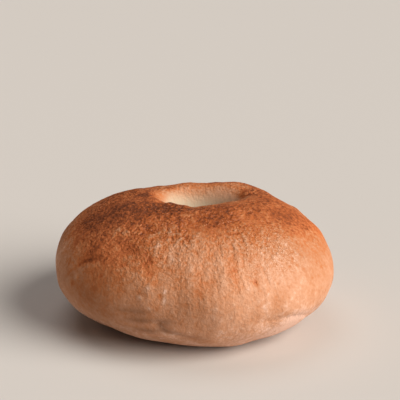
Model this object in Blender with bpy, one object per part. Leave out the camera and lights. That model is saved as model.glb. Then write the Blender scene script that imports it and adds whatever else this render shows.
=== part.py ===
"""A plain bagel: one closed ring of baked dough, puffed a little unevenly, on a small flat underneath.

Metres, +Z up. The origin is the bottom centre of the bounding box, and +X is the long way of the oval ring.
A place on the skin is given by two angles in degrees: its turn round the ring, from +X towards +Y, and its
roll round the ring's thickness, where 0 is the widest level, 90 the crest that rings the hole, 180 the wall
of the hole and -90 underneath.
"""

from collections import namedtuple

import bpy
import numpy as np

MM = 0.001
DEGREE = np.pi / 180

# Sizes of the ring, as radii and levels of the places that its section joins.
WIDEST_RADIUS = 54.0 * MM
WIDEST_LEVEL = 21.9 * MM
CREST_LEVEL = 49.8 * MM
CREST_RADII = (20.0 * MM, 14.9 * MM)
NECK_RADII = (9.5 * MM, 7.0 * MM)
NECK_LEVEL = 23.0 * MM
BASE_OUTER_RADIUS = 28.5 * MM
BASE_INNER_RADIUS = 20.0 * MM
HOLE_CENTRE = (2.8 * MM, 0.2 * MM)

# How far each rounded quarter of the section runs on straight at its wall end and at its level end, as
# shares of its size: 0.55 makes a quarter of an ellipse, less is leaner and more is squarer.
SHOULDER_RUNS = (0.48, 0.45)
FUNNEL_RUNS = (0.54, 0.54)
UNDER_HOLE_RUNS = (0.58, 0.58)
HEEL_RUNS = (0.55, 0.47)

# Slow waves round the ring that make it uneven, each (amount, how many round the ring, turn of a crest).
RADIUS_WAVES = ((0.4 * MM, 1, 222), (1.3 * MM, 2, 340), (0.4 * MM, 3, 318), (0.35 * MM, 5, 352))
CREST_WAVES = ((0.6 * MM, 1, 315), (0.5 * MM, 2, 12), (0.55 * MM, 3, 59))
WIDEST_WAVES = ((0.4 * MM, 1, 149), (0.25 * MM, 2, 31))
BASE_WAVES = ((2.3 * MM, 1, 46), (0.9 * MM, 2, 315))
SHOULDER_WAVES = ((0.045, 1, 193),)

# Folds and creases of the skin, which taper out at both ends of their paths: a groove of this depth and
# half width, with a rounded lip of this height on its upper side and the skin on its lower side set back by
# this much. The lip lies above the groove, and the set back skin reaches below it, by so many half widths.
Fold = namedtuple("Fold", "depth width lip set_back path")
LIP_RISE = 2
SET_BACK_REACH = 4
RIGHT_SKIRT = ((291, -6), (303, -8), (310, -9), (318, -12), (328, -16), (341, -19))
FRONT_HEEL = ((255, -7), (258, -15), (265, -19), (277, -20))
LEFT_HEEL = ((225, -14), (236, -17), (248, -20), (260, -24))
LEFT_BAND = ((234, -4), (246, -4), (256, -2))
LEFT_CHEEK = ((209, 11), (218, 20), (226, 26))
HOLE_END = ((40, 114), (22, 105), (9, 96), (7, 82))
BACK_CHEEK = ((68, 2), (84, 8), (99, 7), (114, 1))
BACK_HEEL = ((126, -16), (141, -21), (159, -19))
FOLDS = (
    Fold(0.4 * MM, 1.8 * MM, 0.2 * MM, 0.5 * MM, RIGHT_SKIRT),
    Fold(0.6 * MM, 1.8 * MM, 0.2 * MM, 0.3 * MM, FRONT_HEEL),
    Fold(0.5 * MM, 1.8 * MM, 0.2 * MM, 0.3 * MM, LEFT_HEEL),
    Fold(0.3 * MM, 2.0 * MM, 0.1 * MM, 0.0 * MM, LEFT_BAND),
    Fold(0.5 * MM, 1.8 * MM, 0.2 * MM, 0.2 * MM, LEFT_CHEEK),
    Fold(0.9 * MM, 1.6 * MM, 0.2 * MM, 0.0 * MM, HOLE_END),
    Fold(0.7 * MM, 1.8 * MM, 0.2 * MM, 0.3 * MM, BACK_CHEEK),
    Fold(0.6 * MM, 2.0 * MM, 0.2 * MM, 0.2 * MM, BACK_HEEL),
)

# Swellings of the skin, and dents where the height is negative, each rounding off over its reach. They
# follow the outer side round from the front, then the shoulder, then the crest, whose front lip dips and
# rises.
Swelling = namedtuple("Swelling", "height reach turn roll")
SWELLINGS = (
    Swelling(-0.7 * MM, 3.0 * MM, 256, -9),
    Swelling(0.5 * MM, 6.0 * MM, 288, -38),
    Swelling(-0.6 * MM, 5.0 * MM, 327, -26),
    Swelling(-0.4 * MM, 5.0 * MM, 349, 0),
    Swelling(-0.3 * MM, 4.0 * MM, 224, -31),
    Swelling(0.5 * MM, 5.0 * MM, 2, 22),
    Swelling(0.4 * MM, 3.0 * MM, 13, 41),
    Swelling(-1.0 * MM, 4.0 * MM, 18, 53),
    Swelling(-0.8 * MM, 5.0 * MM, 150, 67),
    Swelling(0.4 * MM, 5.0 * MM, 42, 73),
    Swelling(-0.5 * MM, 5.0 * MM, 64, 76),
    Swelling(0.9 * MM, 5.0 * MM, 110, 81),
    Swelling(-1.0 * MM, 2.2 * MM, 212, 90),
    Swelling(0.5 * MM, 2.0 * MM, 227, 90),
    Swelling(0.5 * MM, 2.0 * MM, 244, 90),
    Swelling(-0.3 * MM, 3.0 * MM, 256, 90),
    Swelling(-0.5 * MM, 4.0 * MM, 296, 90),
)

# Soft unevenness all over the dough, from waves of two lengths that run in random directions. All relief
# fades out over the lowest part, so that the flat underneath stays flat.
Lumps = namedtuple("Lumps", "height length seed")
LUMPS = (Lumps(0.25 * MM, 27 * MM, 257), Lumps(0.12 * MM, 12 * MM, 23))
WAVES_PER_LUMP = 12
FLAT_FADE = 4 * MM

# Fineness of the mesh.
TURN_COUNT = 108
STEP_COUNT = 54
QUARTER_SAMPLES = 60

Skin = namedtuple("Skin", "points turn roll per_turn per_roll")

CRUST_COLOUR = (0.50, 0.22, 0.09, 1.0)
CRUST_ROUGHNESS = 0.42


def waves(turn, mean, parts):
    """The mean value with its slow waves round the ring."""
    return mean + sum(amount * np.cos(count * (turn - crest * DEGREE)) for amount, count, crest in parts)


def ellipse(turn, radii):
    """How far the edge of an ellipse is from its middle, towards this turn."""
    return 1 / np.hypot(np.cos(turn) / radii[0], np.sin(turn) / radii[1])


def quarter(wall, level, runs):
    """Radii and heights of a rounded quarter between two places, each given as (radius, height): it is
    upright at the wall and flat at the level place."""
    share = np.linspace(0, 1, QUARTER_SAMPLES)
    width, rise = wall[0] - level[0], level[1] - wall[1]
    corners = (
        wall,
        (wall[0], wall[1] + rise * runs[0]),
        (level[0] + width * runs[1], level[1]),
        level,
    )
    weights = ((1 - share) ** 3, 3 * share * (1 - share) ** 2, 3 * share**2 * (1 - share), share**3)
    radii = sum(weight * corner[0] for weight, corner in zip(weights, corners))
    heights = sum(weight * corner[1] for weight, corner in zip(weights, corners))
    return radii, heights


def section(turn):
    """Radii and heights round the ring's closed section at this turn, from its widest place upwards."""
    widest = (waves(turn, WIDEST_RADIUS, RADIUS_WAVES), waves(turn, WIDEST_LEVEL, WIDEST_WAVES))
    crest = (ellipse(turn, CREST_RADII), waves(turn, CREST_LEVEL, CREST_WAVES))
    neck = (ellipse(turn, NECK_RADII), NECK_LEVEL)
    base_inner = (BASE_INNER_RADIUS, 0.0)
    base_outer = (waves(turn, BASE_OUTER_RADIUS, BASE_WAVES), 0.0)
    shoulder = quarter(widest, crest, [waves(turn, run, SHOULDER_WAVES) for run in SHOULDER_RUNS])
    funnel = quarter(neck, crest, FUNNEL_RUNS)
    under_hole = quarter(neck, base_inner, UNDER_HOLE_RUNS)
    heel = quarter(widest, base_outer, HEEL_RUNS)
    radii = np.concatenate((shoulder[0], funnel[0][::-1], under_hole[0], heel[0][::-1]))
    heights = np.concatenate((shoulder[1], funnel[1][::-1], under_hole[1], heel[1][::-1]))
    return radii, heights


def evenly_spaced(radii, heights, count):
    """The same closed section as count points at equal distances along it."""
    distance = np.concatenate(([0.0], np.cumsum(np.hypot(np.diff(radii), np.diff(heights)))))
    wanted = np.arange(count) / count * distance[-1]
    return np.interp(wanted, distance, radii), np.interp(wanted, distance, heights)


def smooth_skin(turn_count, step_count):
    """The ring without its relief: points, turn and roll, each [turn, step], and the metres in a degree
    of turn and of roll."""
    shape = (turn_count, step_count)
    turn = np.repeat(np.arange(turn_count)[:, None] / turn_count * 360, step_count, axis=1)
    radius, height, core_radius = np.empty(shape), np.empty(shape), np.empty(shape)
    for row, angle in enumerate(turn[:, 0] * DEGREE):
        radius[row], height[row] = evenly_spaced(*section(angle), step_count)
        core_radius[row] = ellipse(angle, CREST_RADII)
    widest = radius.max(axis=1, keepdims=True)
    inwards = (widest - radius) / (widest - radius.min(axis=1, keepdims=True))
    towards_hole = inwards**2 * (3 - 2 * inwards)
    x = radius * np.cos(turn * DEGREE) + HOLE_CENTRE[0] * towards_hole
    y = radius * np.sin(turn * DEGREE) + HOLE_CENTRE[1] * towards_hole
    out, up = radius - core_radius, height - WIDEST_LEVEL
    roll = np.arctan2(up, out) / DEGREE
    return Skin(np.stack((x, y, height), axis=-1), turn, roll, radius * DEGREE, np.hypot(out, up) * DEGREE)


def outwards(points):
    """The direction out of the skin at each of its points."""
    around = np.roll(points, -1, axis=0) - np.roll(points, 1, axis=0)
    across = np.roll(points, -1, axis=1) - np.roll(points, 1, axis=1)
    normal = np.cross(around, across)
    return normal / np.linalg.norm(normal, axis=-1, keepdims=True)


def offset_to(skin, place):
    """How far a place lies from each point of the skin, round the ring and across it."""
    around = (place[0] - skin.turn + 180) % 360 - 180
    across = place[1] - skin.roll
    return around * skin.per_turn, across * skin.per_roll


def along_path(skin, path):
    """For each point of the skin, how far it is above the nearest part of a path of places, negative below
    it, and how far along the path that part is, from 0 at its start to 1 at its end."""
    nearest = np.full(skin.turn.shape, np.inf)
    above = np.zeros(skin.turn.shape)
    progress = np.zeros(skin.turn.shape)
    for number, (start, end) in enumerate(zip(path, path[1:])):
        start_x, start_y = offset_to(skin, start)
        run = (end[0] - start[0]) * skin.per_turn
        rise = (end[1] - start[1]) * skin.per_roll
        share = np.clip(-(start_x * run + start_y * rise) / (run**2 + rise**2), 0, 1)
        distance = np.hypot(start_x + share * run, start_y + share * rise)
        side = np.sign(start_x * rise - start_y * run)
        closer = distance < nearest
        nearest = np.where(closer, distance, nearest)
        above = np.where(closer, side * distance, above)
        progress = np.where(closer, (number + share) / (len(path) - 1), progress)
    return above, progress


def bell(distance, reach):
    """1 in the middle, falling off smoothly to nothing at about twice the reach."""
    return np.exp(-((distance / reach) ** 2))


def folded(skin):
    """Relief of the folds."""
    total = 0.0
    for fold in FOLDS:
        above, progress = along_path(skin, fold.path)
        groove = -fold.depth * bell(above, fold.width)
        lip = fold.lip * bell(above - LIP_RISE * fold.width, fold.width)
        skirt = -fold.set_back * bell(above, SET_BACK_REACH * fold.width)
        total = total + (groove + np.where(above > 0, lip, skirt)) * np.sin(np.pi * progress)
    return total


def swollen(skin):
    """Relief of the swellings and dents."""
    total = 0.0
    for swelling in SWELLINGS:
        distance = np.hypot(*offset_to(skin, (swelling.turn, swelling.roll)))
        total = total + swelling.height * bell(distance, swelling.reach)
    return total


def lumpy(points):
    """Relief of the soft unevenness."""
    total = 0.0
    for lumps in LUMPS:
        random = np.random.default_rng(lumps.seed)
        for _ in range(WAVES_PER_LUMP):
            direction = random.normal(size=3)
            direction *= 2 * np.pi / (lumps.length * np.linalg.norm(direction))
            total = total + lumps.height * np.sin(points @ direction + random.uniform(0, 2 * np.pi))
    return total * np.sqrt(2 / WAVES_PER_LUMP)


def baked_skin(turn_count, step_count):
    """Points of the ring with its relief, which fades out towards the flat underneath."""
    skin = smooth_skin(turn_count, step_count)
    relief = folded(skin) + swollen(skin) + lumpy(skin.points)
    relief *= np.clip(skin.points[..., 2] / FLAT_FADE, 0, 1)
    points = skin.points + relief[..., None] * outwards(skin.points)
    points[..., 2] = np.maximum(points[..., 2], 0)
    return points


def centred(points):
    """The points, moved so that their bounding box stands on the floor with its middle over the origin."""
    low = points.min(axis=(0, 1))
    high = points.max(axis=(0, 1))
    return points - np.array(((low[0] + high[0]) / 2, (low[1] + high[1]) / 2, low[2]))


def ring_mesh(name, points):
    """A closed mesh of quads through the points, joined round the ring and round its section."""
    turn_count, step_count = points.shape[:2]
    index = np.arange(turn_count * step_count).reshape(turn_count, step_count)
    next_turn = np.roll(index, -1, axis=0)
    next_step = np.roll(index, -1, axis=1)
    next_both = np.roll(next_turn, -1, axis=1)
    quads = np.stack((index, next_turn, next_both, next_step), axis=-1).reshape(-1, 4)
    mesh = bpy.data.meshes.new(name)
    mesh.from_pydata(points.reshape(-1, 3).tolist(), [], quads.tolist())
    mesh.shade_smooth()
    return mesh


def crust_material():
    material = bpy.data.materials.new("baked_crust")
    material.use_nodes = True
    shader = material.node_tree.nodes["Principled BSDF"]
    shader.inputs["Base Color"].default_value = CRUST_COLOUR
    shader.inputs["Roughness"].default_value = CRUST_ROUGHNESS
    shader.inputs["Metallic"].default_value = 0.0
    return material


def clear_scene():
    for thing in list(bpy.data.objects):
        bpy.data.objects.remove(thing, do_unlink=True)


def main():
    clear_scene()
    points = centred(baked_skin(TURN_COUNT, STEP_COUNT))
    bagel = bpy.data.objects.new("bagel", ring_mesh("bagel", points))
    bagel.data.materials.append(crust_material())
    bpy.context.scene.collection.objects.link(bagel)


main()
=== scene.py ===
"""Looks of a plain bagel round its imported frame: a finer skin of the same form, with the small relief and
the browning of a baked crust, on a pale floor.

Metres, +Z up, in the frame's own axes. A place on the skin is given by two angles in degrees: its turn
round the ring, from +X towards +Y, and its roll round the ring's thickness, where 0 is the widest level,
90 the crest that rings the hole, 180 the wall of the hole and -90 underneath.
"""

from collections import namedtuple

import bpy
import numpy as np
from mathutils import Matrix, Vector, noise


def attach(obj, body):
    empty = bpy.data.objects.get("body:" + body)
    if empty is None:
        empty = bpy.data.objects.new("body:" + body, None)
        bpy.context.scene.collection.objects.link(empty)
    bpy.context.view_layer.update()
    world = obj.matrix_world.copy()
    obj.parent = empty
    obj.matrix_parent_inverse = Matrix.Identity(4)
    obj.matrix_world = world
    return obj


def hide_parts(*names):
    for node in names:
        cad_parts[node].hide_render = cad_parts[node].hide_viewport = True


MM = 0.001
DEGREE = np.pi / 180

# The form, down to the fineness of its solid, has the values of the solid that it stands for. First the
# sizes of the ring, as radii and levels of the places that its section joins.
WIDEST_RADIUS = 54.0 * MM
WIDEST_LEVEL = 21.9 * MM
CREST_LEVEL = 49.8 * MM
CREST_RADII = (20.0 * MM, 14.9 * MM)
NECK_RADII = (9.5 * MM, 7.0 * MM)
NECK_LEVEL = 23.0 * MM
BASE_OUTER_RADIUS = 28.5 * MM
BASE_INNER_RADIUS = 20.0 * MM
HOLE_CENTRE = (2.8 * MM, 0.2 * MM)

# How far each rounded quarter of the section runs on straight at its wall end and at its level end, as
# shares of its size: 0.55 makes a quarter of an ellipse, less is leaner and more is squarer.
SHOULDER_RUNS = (0.48, 0.45)
FUNNEL_RUNS = (0.54, 0.54)
UNDER_HOLE_RUNS = (0.58, 0.58)
HEEL_RUNS = (0.55, 0.47)

# Slow waves round the ring that make it uneven, each (amount, how many round the ring, turn of a crest).
RADIUS_WAVES = ((0.4 * MM, 1, 222), (1.3 * MM, 2, 340), (0.4 * MM, 3, 318), (0.35 * MM, 5, 352))
CREST_WAVES = ((0.6 * MM, 1, 315), (0.5 * MM, 2, 12), (0.55 * MM, 3, 59))
WIDEST_WAVES = ((0.4 * MM, 1, 149), (0.25 * MM, 2, 31))
BASE_WAVES = ((2.3 * MM, 1, 46), (0.9 * MM, 2, 315))
SHOULDER_WAVES = ((0.045, 1, 193),)

# Folds and creases of the skin, which taper out at both ends of their paths: a groove of this depth and
# half width, with a rounded lip of this height on its upper side and the skin on its lower side set back by
# this much. The lip lies above the groove, and the set back skin reaches below it, by so many half widths.
Fold = namedtuple("Fold", "depth width lip set_back path")
LIP_RISE = 2
SET_BACK_REACH = 4
RIGHT_SKIRT = ((291, -6), (303, -8), (310, -9), (318, -12), (328, -16), (341, -19))
FRONT_HEEL = ((255, -7), (258, -15), (265, -19), (277, -20))
LEFT_HEEL = ((225, -14), (236, -17), (248, -20), (260, -24))
LEFT_BAND = ((234, -4), (246, -4), (256, -2))
LEFT_CHEEK = ((209, 11), (218, 20), (226, 26))
HOLE_END = ((40, 114), (22, 105), (9, 96), (7, 82))
BACK_CHEEK = ((68, 2), (84, 8), (99, 7), (114, 1))
BACK_HEEL = ((126, -16), (141, -21), (159, -19))
FOLDS = (
    Fold(0.4 * MM, 1.8 * MM, 0.2 * MM, 0.5 * MM, RIGHT_SKIRT),
    Fold(0.6 * MM, 1.8 * MM, 0.2 * MM, 0.3 * MM, FRONT_HEEL),
    Fold(0.5 * MM, 1.8 * MM, 0.2 * MM, 0.3 * MM, LEFT_HEEL),
    Fold(0.3 * MM, 2.0 * MM, 0.1 * MM, 0.0 * MM, LEFT_BAND),
    Fold(0.5 * MM, 1.8 * MM, 0.2 * MM, 0.2 * MM, LEFT_CHEEK),
    Fold(0.9 * MM, 1.6 * MM, 0.2 * MM, 0.0 * MM, HOLE_END),
    Fold(0.7 * MM, 1.8 * MM, 0.2 * MM, 0.3 * MM, BACK_CHEEK),
    Fold(0.6 * MM, 2.0 * MM, 0.2 * MM, 0.2 * MM, BACK_HEEL),
)

# Swellings of the skin, and dents where the height is negative, each rounding off over its reach. They
# follow the outer side round from the front, then the shoulder, then the crest, whose front lip dips and
# rises.
Swelling = namedtuple("Swelling", "height reach turn roll")
SWELLINGS = (
    Swelling(-0.7 * MM, 3.0 * MM, 256, -9),
    Swelling(0.5 * MM, 6.0 * MM, 288, -38),
    Swelling(-0.6 * MM, 5.0 * MM, 327, -26),
    Swelling(-0.4 * MM, 5.0 * MM, 349, 0),
    Swelling(-0.3 * MM, 4.0 * MM, 224, -31),
    Swelling(0.5 * MM, 5.0 * MM, 2, 22),
    Swelling(0.4 * MM, 3.0 * MM, 13, 41),
    Swelling(-1.0 * MM, 4.0 * MM, 18, 53),
    Swelling(-0.8 * MM, 5.0 * MM, 150, 67),
    Swelling(0.4 * MM, 5.0 * MM, 42, 73),
    Swelling(-0.5 * MM, 5.0 * MM, 64, 76),
    Swelling(0.9 * MM, 5.0 * MM, 110, 81),
    Swelling(-1.0 * MM, 2.2 * MM, 212, 90),
    Swelling(0.5 * MM, 2.0 * MM, 227, 90),
    Swelling(0.5 * MM, 2.0 * MM, 244, 90),
    Swelling(-0.3 * MM, 3.0 * MM, 256, 90),
    Swelling(-0.5 * MM, 4.0 * MM, 296, 90),
)

# Soft unevenness all over the dough, from waves of two lengths that run in random directions. All relief
# fades out over the lowest part, so that the flat underneath stays flat.
Lumps = namedtuple("Lumps", "height length seed")
LUMPS = (Lumps(0.25 * MM, 27 * MM, 257), Lumps(0.12 * MM, 12 * MM, 23))
WAVES_PER_LUMP = 12
FLAT_FADE = 4 * MM

# Fineness of the solid's mesh, for its bounding box, and of the skin that is shown.
SOLID_TURN_COUNT = 108
SOLID_STEP_COUNT = 54
TURN_COUNT = 560
STEP_COUNT = 176
QUARTER_SAMPLES = 60

# Small relief that only this skin has: pebbles, then wrinkles and wider ripples that run down the side.
# A ripple's crest is paler than its trough: painted light on the crest and painted shade in the trough.
PEBBLE_HEIGHT = 0.12 * MM
PEBBLE_LENGTH = 2.4 * MM
WRINKLE_HEIGHT = 0.15 * MM
WRINKLE_WIDTH = 2.2 * MM
WRINKLE_LENGTH = 5.5 * MM
RIPPLE_HEIGHT = 0.24 * MM
RIPPLE_WIDTH = 3.4 * MM
RIPPLE_LENGTH = 9.0 * MM
RIPPLE_PAINTED_SHADING = -0.12

# The radius that turns degrees of roll into metres across the skin, for wrinkles and ripples.
SECTION_RADIUS = 26 * MM

# A band of rolls, with the rolls over which it fades in and those over which it fades out.
Band = namedtuple("Band", "fade_in fade_out")

# Where wrinkles and ripples lie: over a band of rolls, most round the front, and elsewhere this share.
WRINKLED_BAND = Band((-12, 14), (32, 56))
WRINKLED_ELSEWHERE = 0.15
RIPPLED_BAND = Band((-25, 15), (75, 92))
RIPPLED_ELSEWHERE = 0.40
WRINKLED_TURN = 291
WRINKLED_REACH = 24 * MM

# How pebbly the crust is: low down, how much more on top from these rolls on, and how much of it is lost
# inside the hole. Pebbles and wrinkles come and go in soft patches of this length, by up to this share.
PEBBLED_LOW_DOWN = 0.34
PEBBLED_ON_TOP = 0.76
TOP_ROLLS = (0, 52)
HOLE_ROLLS = (90, 104)
HOLE_SMOOTHNESS = 0.85
PATCHINESS = 0.6
PATCH_LENGTH = 9 * MM

# Single bubbles, pits and scars, each rounding off over its reach, and browner or paler than the crust: the
# paleness of the raised ones is mostly painted highlight, and the brown of the dents partly painted shade.
Mark = namedtuple("Mark", "height reach browning turn roll")
MARKS = (
    Mark(-0.35 * MM, 1.1 * MM, 0.36, 295, 15),
    # A blister, painted paler as its highlight, and the pit below it, painted browner as its shade.
    Mark(0.35 * MM, 0.9 * MM, -0.26, 215, 8),
    Mark(-0.25 * MM, 1.1 * MM, 0.25, 213, 4),
    # Small blisters low on the front, painted paler as their highlights, and a dent painted browner as its
    # shade.
    Mark(0.15 * MM, 0.7 * MM, -0.45, 258, 11),
    Mark(-0.20 * MM, 0.6 * MM, 0.20, 256, 9),
    Mark(0.15 * MM, 0.8 * MM, -0.36, 252, 1),
    Mark(0.20 * MM, 1.0 * MM, -0.32, 248, 6),
    Mark(0.20 * MM, 1.0 * MM, -0.30, 251, 12),
    Mark(-0.20 * MM, 1.0 * MM, 0.08, 255, -10),
    Mark(0.08 * MM, 0.7 * MM, -0.20, 297, 2),
    Mark(-0.12 * MM, 1.9 * MM, 0.22, 234, 34),
    Mark(-0.12 * MM, 1.7 * MM, 0.22, 240, 33),
    Mark(-0.16 * MM, 2.8 * MM, 0.24, 247, 28),
    Mark(-0.14 * MM, 2.0 * MM, 0.20, 250, 22),
    Mark(0.14 * MM, 1.4 * MM, -0.22, 221, 46),
    Mark(0.14 * MM, 1.3 * MM, -0.22, 227, 45),
    Mark(0.14 * MM, 1.3 * MM, -0.24, 250, 39),
    Mark(0.10 * MM, 1.8 * MM, -0.12, 260, 30),
    Mark(0.10 * MM, 1.3 * MM, -0.12, 268, 23),
    # Two small pebbles by the front lip, painted pale as their highlights.
    Mark(0.15 * MM, 0.8 * MM, -0.35, 247, 74),
    Mark(0.15 * MM, 0.7 * MM, -0.30, 253, 72),
    Mark(0.10 * MM, 1.0 * MM, -0.18, 239, 28),
)

# How brown the crust is, from 0 for pale dough to 1 for nearly burnt: by roll alone, in patches that fall
# off over their reach, then in streaks that taper out at both ends of their paths. Some patches and streaks,
# the ridges, the marks and the ripples paint light and shade into it as well, as their comments say.
BROWNING_BY_ROLL = (
    (-180, 0.00),
    (-140, 0.10),
    (-110, 0.35),
    (-85, 0.50),
    (-60, 0.40),
    (-35, 0.12),
    (-18, 0.14),
    (0, 0.28),
    (15, 0.38),
    (35, 0.45),
    (50, 0.60),
    (65, 0.72),
    (80, 0.80),
    (89, 0.70),
    (94, 0.50),
    (100, 0.32),
    (110, 0.16),
    (130, 0.05),
    (180, 0.00),
)
Patch = namedtuple("Patch", "amount reach turn roll")
PATCHES = (
    # Browner on the dim left shoulder: partly painted shade.
    Patch(0.40, 15 * MM, 198, 50),
    Patch(0.22, 14 * MM, 226, 26),
    # Painted shade above the left cheek crease.
    Patch(0.08, 3.5 * MM, 219, 27),
    # Browner low on the front: partly painted shade.
    Patch(0.14, 13 * MM, 226, -4),
    Patch(-0.20, 8 * MM, 195, 13),
    # Browner low on the front: partly painted shade.
    Patch(0.12, 9 * MM, 250, -13),
    Patch(-0.08, 7 * MM, 286, 10),
    # Paler where the front shines: a painted sheen.
    Patch(-0.11, 11 * MM, 312, 22),
    Patch(0.20, 5 * MM, 236, 83),
    Patch(-0.05, 12 * MM, 275, 38),
    Patch(-0.24, 8 * MM, 314, -18),
    # Browner low on the front: partly painted shade.
    Patch(0.08, 8 * MM, 271, 1),
    Patch(0.16, 5 * MM, 283, 63),
    Patch(0.14, 5 * MM, 336, 52),
    Patch(0.15, 12 * MM, 348, 42),
    Patch(0.20, 8 * MM, 358, 32),
    Patch(0.12, 2.5 * MM, 305, 6),
    Patch(0.10, 4 * MM, 8, 92),
    Patch(0.10, 4 * MM, 172, 96),
    Patch(-0.22, 9 * MM, 42, 94),
    Patch(0.10, 16 * MM, 90, 45),
    Patch(0.12, 4 * MM, 217, 27),
    Patch(-0.06, 9 * MM, 322, 76),
    # Browner low on the front: partly painted shade.
    Patch(0.12, 7 * MM, 273, -17),
    Patch(0.06, 9 * MM, 270, 14),
    Patch(0.16, 7 * MM, 62, 91),
    Patch(0.12, 4 * MM, 28, 98),
    Patch(0.06, 8 * MM, 338, 40),
    Patch(0.04, 9 * MM, 195, 32),
    Patch(-0.14, 4 * MM, 196, 76),
    Patch(-0.20, 9 * MM, 187, 62),
    Patch(0.20, 3.5 * MM, 187, 87),
    Patch(-0.07, 5 * MM, 220, 52),
    # Paler on the front and on the top: a painted sheen.
    Patch(-0.06, 6 * MM, 270, 31),
    Patch(-0.06, 4 * MM, 260, 74),
)
Streak = namedtuple("Streak", "amount width path")
STREAKS = (
    Streak(0.13, 1.6 * MM, ((288, 34), (287, 19), (287, 4))),
    # A pale line on a blister: a painted highlight.
    Streak(-0.35, 0.5 * MM, ((258, 10), (258, 3))),
    # Browner along the crease at the right end of the hole: partly painted shade.
    Streak(0.22, 1.6 * MM, ((24, 101), (15, 98), (8, 92), (358, 84))),
    Streak(-0.30, 3.5 * MM, ((190, 90), (165, 88), (140, 84), (110, 88), (75, 90), (35, 88), (15, 84))),
)

# Streaks that are relief too: low ridges, paler than the crust, and creases, browner; the paleness is partly
# a painted highlight on the ridges and the brown partly a painted shade in the creases. The amount is added
# to how brown the crust is, and this height times it is the depth.
RIDGE_HEIGHT = 0.7 * MM
RIDGES = (
    Streak(0.27, 0.8 * MM, ((205, 0), (213, 13), (217, 19), (221, 22), (230, 23))),
    Streak(-0.12, 1.3 * MM, ((213, 8), (219, 16), (225, 19), (233, 18))),
    Streak(-0.22, 0.7 * MM, ((206, 42), (208, 54))),
    Streak(-0.22, 0.8 * MM, ((222, 34), (222, 42), (221, 50))),
    Streak(-0.24, 0.8 * MM, ((242, 46), (248, 56))),
    Streak(-0.24, 0.8 * MM, ((251, 46), (254, 61))),
    Streak(-0.22, 0.7 * MM, ((258, 37), (261, 49))),
    Streak(-0.20, 0.9 * MM, ((255, 41), (260, 27))),
    Streak(-0.20, 0.7 * MM, ((249, 38), (251, 27))),
    Streak(0.20, 1.2 * MM, ((232, 57), (242, 49))),
)

# How much darker than the colour ramp makes it the crust is, as a share, in patches and streaks: painted
# shade, mostly low on the front, in dark lines along the low folds and in small pits. Where the amount is
# negative it is lighter: painted light, on the right shoulder, the left edge, the front, pale lines along
# the low folds and the right end of the hole.
PAINTED_SHADING = (
    Patch(0.18, 13 * MM, 226, -6),
    Patch(0.18, 9 * MM, 250, -13),
    Patch(0.22, 9 * MM, 271, 2),
    Patch(0.04, 7 * MM, 273, -17),
    Patch(0.30, 1.3 * MM, 255.5, -10),
    Patch(0.14, 1.6 * MM, 249.5, 9),
    Patch(0.08, 5 * MM, 247, -11),
    Patch(-0.26, 8 * MM, 357, 34),
    Patch(-0.10, 8 * MM, 338, 40),
    Patch(-0.15, 9 * MM, 197, 18),
    Patch(-0.08, 8 * MM, 286, 12),
    Patch(-0.25, 4 * MM, 28, 98),
)
PAINTED_SHADING_STREAKS = (
    Streak(0.20, 1.2 * MM, ((255, -10), (258, -15), (266, -18), (276, -18))),
    Streak(0.22, 0.9 * MM, ((233, -3), (246, -2), (256, 0))),
    Streak(0.24, 0.9 * MM, ((238, -9), (252, -7), (266, -6))),
    Streak(-0.18, 1.5 * MM, ((238, -12), (250, -11), (255, -10))),
    Streak(0.20, 0.8 * MM, ((242, -16), (256, -14), (268, -14))),
    Streak(-0.18, 1.3 * MM, ((240, -24), (252, -20), (267, -19))),
    Streak(-0.08, 1.2 * MM, ((288, 3), (288, -8))),
    Streak(-0.08, 1.2 * MM, ((281, -2), (281, -12))),
    Streak(0.12, 1.2 * MM, ((285, 5), (284, -9))),
)

# Where the pale wall of the hole starts: the roll, its waves round the hole, one place where it starts this
# many degrees later, and how many degrees it takes. It ends underneath, over these rolls.
PALE_ROLL = 94.5
PALE_ROLL_WAVES = ((3, 1, 350),)
LATE_PALE = Patch(8, 4 * MM, 172, 97)
PALE_FADE = 12
PALE_END_ROLLS = (-150, -120)

# Places where the top is less pebbly, by this share.
CALM = (
    Patch(0.50, 14 * MM, 276, 28),
    Patch(0.35, 14 * MM, 332, 64),
    Patch(0.70, 16 * MM, 75, 93),
    Patch(0.45, 9 * MM, 354, 48),
)

# Where the crust shines: over a band of rolls, most round the front and in two more places.
SHINY_BAND = Band((-15, 20), (90, 100))
SHINY_TURN = 286
SHINY_REACH = 36 * MM
SHEENS = (
    Patch(0.80, 14 * MM, 315, 24),
    Patch(0.60, 18 * MM, 241, 42),
)

# Colours of the crust, from pale dough to nearly burnt, each (browning, colour), and of the hole's wall.
CRUST_COLOURS = (
    (0.00, (0.78, 0.490, 0.370)),
    (0.20, (0.59, 0.296, 0.173)),
    (0.38, (0.52, 0.222, 0.106)),
    (0.55, (0.49, 0.160, 0.052)),
    (0.70, (0.43, 0.112, 0.029)),
    (0.85, (0.30, 0.070, 0.015)),
    (1.00, (0.17, 0.040, 0.010)),
)
HOLE_COLOUR = (0.54, 0.425, 0.30, 1.0)

# The grain of the crust: noises of this length, detail and roughness. Wrinkles and bands are drawn out down
# the side by this scale.
Grain = namedtuple("Grain", "length detail roughness")
BLOTCHES = Grain(5 * MM, 3.0, 0.50)
MOTTLES = Grain(2 * MM, 3.0, 0.60)
PEBBLES = Grain(1.3 * MM, 3.0, 0.65)
WRINKLES = Grain(1.6 * MM, 2.0, 0.50)
WRINKLE_SCALE = (1, 1, 0.35)
BANDS = Grain(3.5 * MM, 1.0, 0.50)
BAND_SCALE = (1, 1, 0.15)

# Grooves run between small cells of this size, rounded by this much.
CELL_SIZE = 1.1 * MM
CELL_SMOOTHNESS = 0.3

# An amount that follows another value: its gain, and what it is where that value is 0.
Amount = namedtuple("Amount", "gain base")

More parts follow.
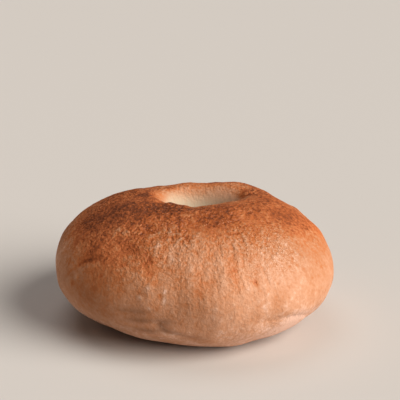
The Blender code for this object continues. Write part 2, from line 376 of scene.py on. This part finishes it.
# How far each grain varies how brown the crust is, from crest to trough: the blotches by the same
# everywhere, and the others, each (grain, what it follows, amount), by how pebbly or wrinkled the crust is.
# Bands and mottles are the crust's own tone; the pebbles and wrinkles are paler on their bumped crests and
# the grooves browner, partly painted light on the bumps and painted shade in their hollows.
BLOTCH_BROWNING = 0.36
GRAIN_TONES_AND_PAINTED_SHADING = (
    ("bands", "wrinkled", Amount(0.12, 0.04)),
    ("mottles", "pebbled", Amount(0.68, 0.10)),
    ("pebbles", "pebbled", Amount(-0.60, 0.0)),
    ("grooves", "pebbled", Amount(0.36, 0.0)),
    ("wrinkles", "wrinkled", Amount(-0.26, 0.0)),
)

# How much of the hole's wall has its pale colour, by the bands.
PALE_COVER = Amount(0.80, 0.58)

# Shine: how much roughness it takes away, by how pebbly the crust is, from that of the dull crust, how far
# the mottles vary the roughness, and the strength and tint of what the crust reflects.
DULL_ROUGHNESS = 0.95
SHINE = Amount(0.32, 0.37)
MOTTLE_ROUGHNESS = 0.25
SHINE_LEVEL = 0.34
SHINE_TINT = (1.0, 0.90, 0.82, 1.0)

# Heights of the bumps, and depth of the grooves.
PEBBLE_BUMP = 1.2 * MM
GROOVE_BUMP = 0.2 * MM
WRINKLE_BUMP = 0.4 * MM

# Places of the factor, the two colours and the result among the sockets of Blender's mix node.
COLOUR_MIX_INPUTS = (0, 6, 7)
COLOUR_MIX_OUTPUT = 2

# The floor, and the soft lights: far suns, each shining from this direction, in a dim warm room.
FLOOR_HALF_SIZE = 4.0
FLOOR_COLOUR = (0.62, 0.59, 0.56, 1.0)
FLOOR_ROUGHNESS = 0.9
Sun = namedtuple("Sun", "name direction strength softness colour")
SUNS = (
    Sun("key", (0.77, -0.40, 0.52), 4.7, 48 * DEGREE, (1.0, 0.96, 0.90)),
    Sun("top", (-0.15, 0.25, 0.95), 0.6, 40 * DEGREE, (1.0, 0.94, 0.92)),
)
ROOM_COLOUR = (1.0, 0.90, 0.82, 1.0)
ROOM_STRENGTH = 0.12

# The camera: it is this far from the bagel's middle at this elevation, and looks this far to the right of
# the middle and above it. Its sensor and lens are in millimetres.
VIEW_ELEVATION = 20 * DEGREE
VIEW_DISTANCE = 420 * MM
VIEW_MIDDLE = (0.0, 0.0, 25 * MM)
VIEW_RIGHT = 2.3 * MM
VIEW_UP = 21.6 * MM
VIEW_ROLL = 0.2 * DEGREE
NEAREST_SEEN = 10 * MM
SENSOR_WIDTH = 36.0
FOCAL_LENGTH = 94.7

# Places on the skin, as arrays [turn, step]: their points, the two angles, and the metres in a degree of
# each angle.
Skin = namedtuple("Skin", "points turn roll per_turn per_roll")


def waves(turn, mean, parts):
    """The mean value with its slow waves round the ring."""
    return mean + sum(amount * np.cos(count * (turn - crest * DEGREE)) for amount, count, crest in parts)


def ellipse(turn, radii):
    """How far the edge of an ellipse is from its middle, towards this turn."""
    return 1 / np.hypot(np.cos(turn) / radii[0], np.sin(turn) / radii[1])


def quarter(wall, level, runs):
    """Radii and heights of a rounded quarter between two places, each given as (radius, height): it is
    upright at the wall and flat at the level place."""
    share = np.linspace(0, 1, QUARTER_SAMPLES)
    width, rise = wall[0] - level[0], level[1] - wall[1]
    corners = (
        wall,
        (wall[0], wall[1] + rise * runs[0]),
        (level[0] + width * runs[1], level[1]),
        level,
    )
    weights = ((1 - share) ** 3, 3 * share * (1 - share) ** 2, 3 * share**2 * (1 - share), share**3)
    radii = sum(weight * corner[0] for weight, corner in zip(weights, corners))
    heights = sum(weight * corner[1] for weight, corner in zip(weights, corners))
    return radii, heights


def section(turn):
    """Radii and heights round the ring's closed section at this turn, from its widest place upwards."""
    widest = (waves(turn, WIDEST_RADIUS, RADIUS_WAVES), waves(turn, WIDEST_LEVEL, WIDEST_WAVES))
    crest = (ellipse(turn, CREST_RADII), waves(turn, CREST_LEVEL, CREST_WAVES))
    neck = (ellipse(turn, NECK_RADII), NECK_LEVEL)
    base_inner = (BASE_INNER_RADIUS, 0.0)
    base_outer = (waves(turn, BASE_OUTER_RADIUS, BASE_WAVES), 0.0)
    shoulder = quarter(widest, crest, [waves(turn, run, SHOULDER_WAVES) for run in SHOULDER_RUNS])
    funnel = quarter(neck, crest, FUNNEL_RUNS)
    under_hole = quarter(neck, base_inner, UNDER_HOLE_RUNS)
    heel = quarter(widest, base_outer, HEEL_RUNS)
    radii = np.concatenate((shoulder[0], funnel[0][::-1], under_hole[0], heel[0][::-1]))
    heights = np.concatenate((shoulder[1], funnel[1][::-1], under_hole[1], heel[1][::-1]))
    return radii, heights


def evenly_spaced(radii, heights, count):
    """The same closed section as count points at equal distances along it."""
    distance = np.concatenate(([0.0], np.cumsum(np.hypot(np.diff(radii), np.diff(heights)))))
    wanted = np.arange(count) / count * distance[-1]
    return np.interp(wanted, distance, radii), np.interp(wanted, distance, heights)


def smooth_skin(turn_count, step_count):
    """The ring without its relief: points, turn and roll, each [turn, step], and the metres in a degree
    of turn and of roll."""
    shape = (turn_count, step_count)
    turn = np.repeat(np.arange(turn_count)[:, None] / turn_count * 360, step_count, axis=1)
    radius, height, core_radius = np.empty(shape), np.empty(shape), np.empty(shape)
    for row, angle in enumerate(turn[:, 0] * DEGREE):
        radius[row], height[row] = evenly_spaced(*section(angle), step_count)
        core_radius[row] = ellipse(angle, CREST_RADII)
    widest = radius.max(axis=1, keepdims=True)
    inwards = (widest - radius) / (widest - radius.min(axis=1, keepdims=True))
    towards_hole = inwards**2 * (3 - 2 * inwards)
    x = radius * np.cos(turn * DEGREE) + HOLE_CENTRE[0] * towards_hole
    y = radius * np.sin(turn * DEGREE) + HOLE_CENTRE[1] * towards_hole
    out, up = radius - core_radius, height - WIDEST_LEVEL
    roll = np.arctan2(up, out) / DEGREE
    return Skin(np.stack((x, y, height), axis=-1), turn, roll, radius * DEGREE, np.hypot(out, up) * DEGREE)


def outwards(points):
    """The direction out of the skin at each of its points."""
    around = np.roll(points, -1, axis=0) - np.roll(points, 1, axis=0)
    across = np.roll(points, -1, axis=1) - np.roll(points, 1, axis=1)
    normal = np.cross(around, across)
    return normal / np.linalg.norm(normal, axis=-1, keepdims=True)


def offset_to(skin, place):
    """How far a place lies from each point of the skin, round the ring and across it."""
    around = (place[0] - skin.turn + 180) % 360 - 180
    across = place[1] - skin.roll
    return around * skin.per_turn, across * skin.per_roll


def along_path(skin, path):
    """For each point of the skin, how far it is above the nearest part of a path of places, negative below
    it, and how far along the path that part is, from 0 at its start to 1 at its end."""
    nearest = np.full(skin.turn.shape, np.inf)
    above = np.zeros(skin.turn.shape)
    progress = np.zeros(skin.turn.shape)
    for number, (start, end) in enumerate(zip(path, path[1:])):
        start_x, start_y = offset_to(skin, start)
        run = (end[0] - start[0]) * skin.per_turn
        rise = (end[1] - start[1]) * skin.per_roll
        share = np.clip(-(start_x * run + start_y * rise) / (run**2 + rise**2), 0, 1)
        distance = np.hypot(start_x + share * run, start_y + share * rise)
        side = np.sign(start_x * rise - start_y * run)
        closer = distance < nearest
        nearest = np.where(closer, distance, nearest)
        above = np.where(closer, side * distance, above)
        progress = np.where(closer, (number + share) / (len(path) - 1), progress)
    return above, progress


def bell(distance, reach):
    """1 in the middle, falling off smoothly to nothing at about twice the reach."""
    return np.exp(-((distance / reach) ** 2))


def spot(skin, place):
    """1 at the place of a swelling, a mark or a patch, falling off over its reach."""
    return bell(np.hypot(*offset_to(skin, (place.turn, place.roll))), place.reach)


def folded(skin):
    """Relief of the folds."""
    total = 0.0
    for fold in FOLDS:
        above, progress = along_path(skin, fold.path)
        groove = -fold.depth * bell(above, fold.width)
        lip = fold.lip * bell(above - LIP_RISE * fold.width, fold.width)
        skirt = -fold.set_back * bell(above, SET_BACK_REACH * fold.width)
        total = total + (groove + np.where(above > 0, lip, skirt)) * np.sin(np.pi * progress)
    return total


def swollen(skin):
    """Relief of the swellings and dents."""
    return sum(swelling.height * spot(skin, swelling) for swelling in SWELLINGS)


def lumpy(points):
    """Relief of the soft unevenness."""
    total = 0.0
    for lumps in LUMPS:
        random = np.random.default_rng(lumps.seed)
        for _ in range(WAVES_PER_LUMP):
            direction = random.normal(size=3)
            direction *= 2 * np.pi / (lumps.length * np.linalg.norm(direction))
            total = total + lumps.height * np.sin(points @ direction + random.uniform(0, 2 * np.pi))
    return total * np.sqrt(2 / WAVES_PER_LUMP)


def baked_skin(skin, fine_relief=0.0):
    """Points of the ring with its relief, which fades out towards the flat underneath."""
    relief = folded(skin) + swollen(skin) + lumpy(skin.points) + fine_relief
    relief *= np.clip(skin.points[..., 2] / FLAT_FADE, 0, 1)
    points = skin.points + relief[..., None] * outwards(skin.points)
    points[..., 2] = np.maximum(points[..., 2], 0)
    return points


def middle_of(points):
    """The bottom centre of the points' bounding box."""
    low = points.min(axis=(0, 1))
    high = points.max(axis=(0, 1))
    return np.array(((low[0] + high[0]) / 2, (low[1] + high[1]) / 2, low[2]))


def ramp(values, start, end):
    """0 up to start, 1 from end on, and a smooth rise between them."""
    share = np.clip((values - start) / (end - start), 0, 1)
    return share**2 * (3 - 2 * share)


def in_band(skin, band):
    """1 over a band of rolls, with soft edges."""
    return ramp(skin.roll, *band.fade_in) * (1 - ramp(skin.roll, *band.fade_out))


def towards(skin, turn, reach):
    """1 at this turn, falling off round the ring over the reach."""
    return bell(offset_to(skin, (turn, 0))[0], reach)


def patched(skin, patches):
    """The amounts of patches, which fall off over their reach."""
    return sum(patch.amount * spot(skin, patch) for patch in patches)


def streaked(skin, streaks):
    """The amounts of streaks, which taper out at both ends."""
    total = 0.0
    for streak in streaks:
        above, progress = along_path(skin, streak.path)
        total = total + streak.amount * bell(above, streak.width) * np.sin(np.pi * progress)
    return total


def noise_at(places):
    """Smooth noise from about -1 to 1 at each place of an array [turn, step, 3]."""
    flat = places.reshape(-1, 3).tolist()
    return np.array([noise.noise(place) for place in flat]).reshape(places.shape[:2])


def drawn_out(skin, width, length):
    """Places for noise with no seam, whose features are this wide round the ring and this long across it."""
    turn = skin.turn * DEGREE
    around = WIDEST_RADIUS / width
    across = skin.roll * DEGREE * SECTION_RADIUS / length
    return np.stack((np.cos(turn) * around, np.sin(turn) * around, across), axis=-1)


def uneven(skin):
    """About 1, more in some soft patches of the crust and less in others."""
    return 1 + PATCHINESS * noise_at(skin.points / PATCH_LENGTH)


def pebbled(skin):
    """How pebbly the crust is: most on the browned top, hardly low down or in the hole."""
    top = ramp(skin.roll, *TOP_ROLLS) * (1 - patched(skin, CALM)) * uneven(skin)
    hole = HOLE_SMOOTHNESS * ramp(skin.roll, *HOLE_ROLLS)
    return (PEBBLED_LOW_DOWN + PEBBLED_ON_TOP * top) * (1 - hole)


def wrinkled(skin):
    """How wrinkled the crust is: most round the front of the side, hardly low down or on the top."""
    front = towards(skin, WRINKLED_TURN, WRINKLED_REACH)
    share = WRINKLED_ELSEWHERE + (1 - WRINKLED_ELSEWHERE) * front
    return in_band(skin, WRINKLED_BAND) * share * uneven(skin)


def rippled(skin):
    """Soft ripples that run down from the crest, from -1 to 1."""
    front = towards(skin, WRINKLED_TURN, WRINKLED_REACH)
    share = RIPPLED_ELSEWHERE + (1 - RIPPLED_ELSEWHERE) * front
    return in_band(skin, RIPPLED_BAND) * share * noise_at(drawn_out(skin, RIPPLE_WIDTH, RIPPLE_LENGTH))


def shiny(skin):
    """How shiny the crust is: most on the front, hardly low down."""
    return in_band(skin, SHINY_BAND) * (towards(skin, SHINY_TURN, SHINY_REACH) + patched(skin, SHEENS))


def inside(skin):
    """How far the crust has given way to the pale wall of the hole."""
    edge = waves(skin.turn * DEGREE, PALE_ROLL, PALE_ROLL_WAVES) + patched(skin, [LATE_PALE])
    return ramp(skin.roll - edge, 0, PALE_FADE) + 1 - ramp(skin.roll, *PALE_END_ROLLS)


def browned_and_painted(skin):
    """How brown the crust is at each point, with the painted highlights and shade of the marks, ridges,
    ripples and some patches and streaks.
    """
    rolls, amounts = zip(*BROWNING_BY_ROLL)
    total = np.interp(skin.roll, rolls, amounts) + patched(skin, PATCHES) + streaked(skin, STREAKS + RIDGES)
    marks = sum(mark.browning * spot(skin, mark) for mark in MARKS)
    return total + marks + RIPPLE_PAINTED_SHADING * rippled(skin)


def painted_shading_at(skin):
    """The painted shade at each point, as a share darker than the colour ramp makes the crust; negative
    where light is painted.
    """
    return patched(skin, PAINTED_SHADING) + streaked(skin, PAINTED_SHADING_STREAKS)


def fine_relief(skin):
    """Relief of the pebbles, the wrinkles and ripples that run down the side, the ridges and the marks."""
    pebbles = PEBBLE_HEIGHT * noise_at(skin.points / PEBBLE_LENGTH) * pebbled(skin)
    wrinkles = WRINKLE_HEIGHT * noise_at(drawn_out(skin, WRINKLE_WIDTH, WRINKLE_LENGTH)) * wrinkled(skin)
    ripples = RIPPLE_HEIGHT * rippled(skin)
    ridges = -RIDGE_HEIGHT * streaked(skin, RIDGES)
    marks = sum(mark.height * spot(skin, mark) for mark in MARKS)
    return pebbles + wrinkles + ripples + ridges + marks


# The numbers that the mesh keeps per point for the material, by name, and what works them out.
ATTRIBUTES = {
    "browning": browned_and_painted,
    "shade": painted_shading_at,
    "inside": inside,
    "pebbled": pebbled,
    "wrinkled": wrinkled,
    "shiny": shiny,
}


def ring_mesh(name, points):
    """A closed mesh of quads through the points, joined round the ring and round its section."""
    turn_count, step_count = points.shape[:2]
    index = np.arange(turn_count * step_count).reshape(turn_count, step_count)
    next_turn = np.roll(index, -1, axis=0)
    next_step = np.roll(index, -1, axis=1)
    next_both = np.roll(next_turn, -1, axis=1)
    quads = np.stack((index, next_turn, next_both, next_step), axis=-1).reshape(-1, 4)
    mesh = bpy.data.meshes.new(name)
    mesh.from_pydata(points.reshape(-1, 3).tolist(), [], quads.tolist())
    mesh.shade_smooth()
    return mesh


def add_attribute(mesh, name, kind, field, values):
    """Keeps a number or a vector per point on the mesh, for the material."""
    attribute = mesh.attributes.new(name, kind, "POINT")
    attribute.data.foreach_set(field, np.ascontiguousarray(values, dtype=np.float32).ravel())


def add_object(name, data):
    """A new object of the scene."""
    thing = bpy.data.objects.new(name, data)
    bpy.context.scene.collection.objects.link(thing)
    return thing


def add_node(tree, kind, inputs, **settings):
    """A new node with these settings. An input that is given a socket is linked to it, and any other is
    set to the value."""
    made = tree.nodes.new(kind)
    for name, value in settings.items():
        setattr(made, name, value)
    for name, value in inputs.items():
        if isinstance(value, bpy.types.NodeSocket):
            tree.links.new(value, made.inputs[name])
        else:
            made.inputs[name].default_value = value
    return made


def attribute_output(tree, name, output="Fac"):
    """The number per point, or with the output Vector the vector, that the mesh keeps under this name."""
    return add_node(tree, "ShaderNodeAttribute", {}, attribute_name=name).outputs[output]


def arithmetic(tree, operation, *terms):
    """The result of a math node on two or three sockets or numbers."""
    return add_node(tree, "ShaderNodeMath", dict(enumerate(terms)), operation=operation).outputs[0]


def following(tree, socket, amount):
    """An amount that follows this socket."""
    return arithmetic(tree, "MULTIPLY_ADD", socket, amount.gain, amount.base)


def varied(tree, base, noise_socket, amount):
    """The base value with noise of this size from crest to trough added to it."""
    shifted = arithmetic(tree, "SUBTRACT", noise_socket, 0.5)
    return arithmetic(tree, "MULTIPLY_ADD", shifted, amount, base)


def noise_output(tree, places, grain):
    """Noise from 0 to 1 of this grain, at places in metres."""
    inputs = {
        "Vector": places,
        "Scale": 1 / grain.length,
        "Detail": grain.detail,
        "Roughness": grain.roughness,
    }
    return add_node(tree, "ShaderNodeTexNoise", inputs).outputs["Fac"]


def stretched(tree, places, scale):
    """The places, scaled along each axis."""
    return add_node(tree, "ShaderNodeMapping", {"Vector": places, "Scale": scale}).outputs["Vector"]


def cells_output(tree, places):
    """How far it is to the middle of the nearest of many small cells, in cell sizes."""
    inputs = {"Vector": places, "Scale": 1 / CELL_SIZE, "Smoothness": CELL_SMOOTHNESS}
    return add_node(tree, "ShaderNodeTexVoronoi", inputs, feature="SMOOTH_F1").outputs["Distance"]


def crust_sockets(tree):
    """The grains of the crust, and what the mesh keeps for it, by name."""
    places = add_node(tree, "ShaderNodeTexCoord", {}).outputs["Object"]
    skin_places = attribute_output(tree, "skin_place", "Vector")
    sockets = {name: attribute_output(tree, name) for name in ATTRIBUTES}
    sockets["blotches"] = noise_output(tree, places, BLOTCHES)
    sockets["mottles"] = noise_output(tree, places, MOTTLES)
    sockets["pebbles"] = noise_output(tree, places, PEBBLES)
    sockets["grooves"] = cells_output(tree, places)
    sockets["wrinkles"] = noise_output(tree, stretched(tree, skin_places, WRINKLE_SCALE), WRINKLES)
    sockets["bands"] = noise_output(tree, stretched(tree, skin_places, BAND_SCALE), BANDS)
    return sockets


def crust_colour(tree, sockets):
    """Colour by how brown the crust is, with its grain, the painted light and shade on its bumps and in
    patches, and the pale colour of the hole.
    """
    tone = varied(tree, sockets["browning"], sockets["blotches"], BLOTCH_BROWNING)
    for grain, place, amount in GRAIN_TONES_AND_PAINTED_SHADING:
        tone = varied(tree, tone, sockets[grain], following(tree, sockets[place], amount))
    crust = add_node(tree, "ShaderNodeValToRGB", {"Fac": tone})
    fill_ramp(crust.color_ramp, CRUST_COLOURS)
    light_share = arithmetic(tree, "SUBTRACT", 1.0, sockets["shade"])
    shading = {"Vector": crust.outputs["Color"], "Scale": light_share}
    painted_crust = add_node(tree, "ShaderNodeVectorMath", shading, operation="SCALE").outputs["Vector"]
    cover = arithmetic(tree, "MULTIPLY", sockets["inside"], following(tree, sockets["bands"], PALE_COVER))
    mixed = dict(zip(COLOUR_MIX_INPUTS, (cover, painted_crust, HOLE_COLOUR)))
    return add_node(tree, "ShaderNodeMix", mixed, data_type="RGBA").outputs[COLOUR_MIX_OUTPUT]


def crust_roughness(tree, sockets):
    """Rough, but less so where the crust is shiny and pebbly."""
    smoothness = arithmetic(tree, "MULTIPLY", following(tree, sockets["pebbled"], SHINE), sockets["shiny"])
    dullness = arithmetic(tree, "SUBTRACT", DULL_ROUGHNESS, smoothness)
    return varied(tree, dullness, sockets["mottles"], MOTTLE_ROUGHNESS)


def bumped(tree, height, distance, **below):
    """The normal, bent by bumps on the surface below, which is given as its Normal or is the plain skin."""
    inputs = {"Height": height, "Distance": distance} | below
    return add_node(tree, "ShaderNodeBump", inputs).outputs["Normal"]


def crust_bumps(tree, sockets):
    """The normal, bent by the pebbles, the grooves between them and the wrinkles."""
    sunk = arithmetic(tree, "SUBTRACT", 0.0, sockets["pebbled"])
    pebbles = arithmetic(tree, "MULTIPLY", sockets["pebbles"], sockets["pebbled"])
    grooves = arithmetic(tree, "MULTIPLY", sockets["grooves"], sunk)
    wrinkles = arithmetic(tree, "MULTIPLY", sockets["wrinkles"], sockets["wrinkled"])
    normal = bumped(tree, pebbles, PEBBLE_BUMP)
    normal = bumped(tree, grooves, GROOVE_BUMP, Normal=normal)
    return bumped(tree, wrinkles, WRINKLE_BUMP, Normal=normal)


def crust_material():
    """Baked crust: colour by how brown it is, mottled and pebbled, with a soft shine."""
    material = bpy.data.materials.new("baked_crust")
    material.use_nodes = True
    tree = material.node_tree
    shader = tree.nodes["Principled BSDF"]
    sockets = crust_sockets(tree)
    tree.links.new(crust_colour(tree, sockets), shader.inputs["Base Color"])
    tree.links.new(crust_roughness(tree, sockets), shader.inputs["Roughness"])
    tree.links.new(crust_bumps(tree, sockets), shader.inputs["Normal"])
    shader.inputs["Specular IOR Level"].default_value = SHINE_LEVEL
    shader.inputs["Specular Tint"].default_value = SHINE_TINT
    return material


def fill_ramp(color_ramp, stops):
    """Sets a colour ramp to these stops, each (position, colour)."""
    while len(color_ramp.elements) < len(stops):
        color_ramp.elements.new(1.0)
    for element, (position, colour) in zip(color_ramp.elements, stops):
        element.position = position
        element.color = (*colour, 1.0)


def build_bagel():
    """The bagel's shown skin, placed as the solid is."""
    skin = smooth_skin(TURN_COUNT, STEP_COUNT)
    solid_middle = middle_of(baked_skin(smooth_skin(SOLID_TURN_COUNT, SOLID_STEP_COUNT)))
    points = baked_skin(skin, fine_relief(skin)) - solid_middle
    mesh = ring_mesh("bagel_skin", points)
    for name, values_of in ATTRIBUTES.items():
        add_attribute(mesh, name, "FLOAT", "value", values_of(skin))
    add_attribute(mesh, "skin_place", "FLOAT_VECTOR", "vector", drawn_out(skin, 1.0, 1.0))
    mesh.materials.append(crust_material())
    bagel = add_object("bagel_skin", mesh)
    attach(bagel, "root")
    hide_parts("bagel")


def build_floor():
    """A plain pale floor under the bagel."""
    mesh = bpy.data.meshes.new("floor")
    half = FLOOR_HALF_SIZE
    corners = [(-half, -half, 0), (half, -half, 0), (half, half, 0), (-half, half, 0)]
    mesh.from_pydata(corners, [], [(0, 1, 2, 3)])
    material = bpy.data.materials.new("floor")
    material.use_nodes = True
    shader = material.node_tree.nodes["Principled BSDF"]
    shader.inputs["Base Color"].default_value = FLOOR_COLOUR
    shader.inputs["Roughness"].default_value = FLOOR_ROUGHNESS
    mesh.materials.append(material)
    add_object("floor", mesh)


def aim(thing, place, target, roll=0.0):
    """Puts a thing at place with its -Z axis towards target and its top up, then rolls it."""
    facing = (Vector(target) - Vector(place)).to_track_quat("-Z", "Y").to_matrix().to_4x4()
    thing.matrix_world = Matrix.Translation(place) @ facing @ Matrix.Rotation(roll, 4, "Z")


def light_scene():
    """The suns and the dim room round them, shown with plain colours."""
    for sun in SUNS:
        light = bpy.data.lights.new(sun.name, "SUN")
        light.energy = sun.strength
        light.angle = sun.softness
        light.color = sun.colour
        aim(add_object(sun.name, light), sun.direction, (0, 0, 0))
    world = bpy.data.worlds.new("studio")
    world.use_nodes = True
    background = world.node_tree.nodes["Background"]
    background.inputs["Color"].default_value = ROOM_COLOUR
    background.inputs["Strength"].default_value = ROOM_STRENGTH
    bpy.context.scene.world = world
    bpy.context.scene.view_settings.view_transform = "Standard"


def place_camera():
    """The camera at the photograph's viewing angle."""
    data = bpy.data.cameras.new("camera")
    data.sensor_width = SENSOR_WIDTH
    data.lens = FOCAL_LENGTH
    data.clip_start = NEAREST_SEEN
    camera = add_object("camera", data)
    away = Vector((0, -np.cos(VIEW_ELEVATION), np.sin(VIEW_ELEVATION)))
    up = Vector((0, np.sin(VIEW_ELEVATION), np.cos(VIEW_ELEVATION)))
    middle = Vector(VIEW_MIDDLE)
    looked_at = middle + VIEW_UP * up + Vector((VIEW_RIGHT, 0, 0))
    aim(camera, middle + VIEW_DISTANCE * away, looked_at, VIEW_ROLL)
    bpy.context.scene.camera = camera


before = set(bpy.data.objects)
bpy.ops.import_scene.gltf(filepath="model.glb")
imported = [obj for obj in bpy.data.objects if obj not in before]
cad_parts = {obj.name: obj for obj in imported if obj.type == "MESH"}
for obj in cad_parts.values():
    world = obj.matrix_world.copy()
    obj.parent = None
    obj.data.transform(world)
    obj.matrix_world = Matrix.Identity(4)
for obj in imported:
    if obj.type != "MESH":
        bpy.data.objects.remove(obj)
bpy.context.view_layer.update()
build_bagel()
build_floor()
light_scene()
place_camera()
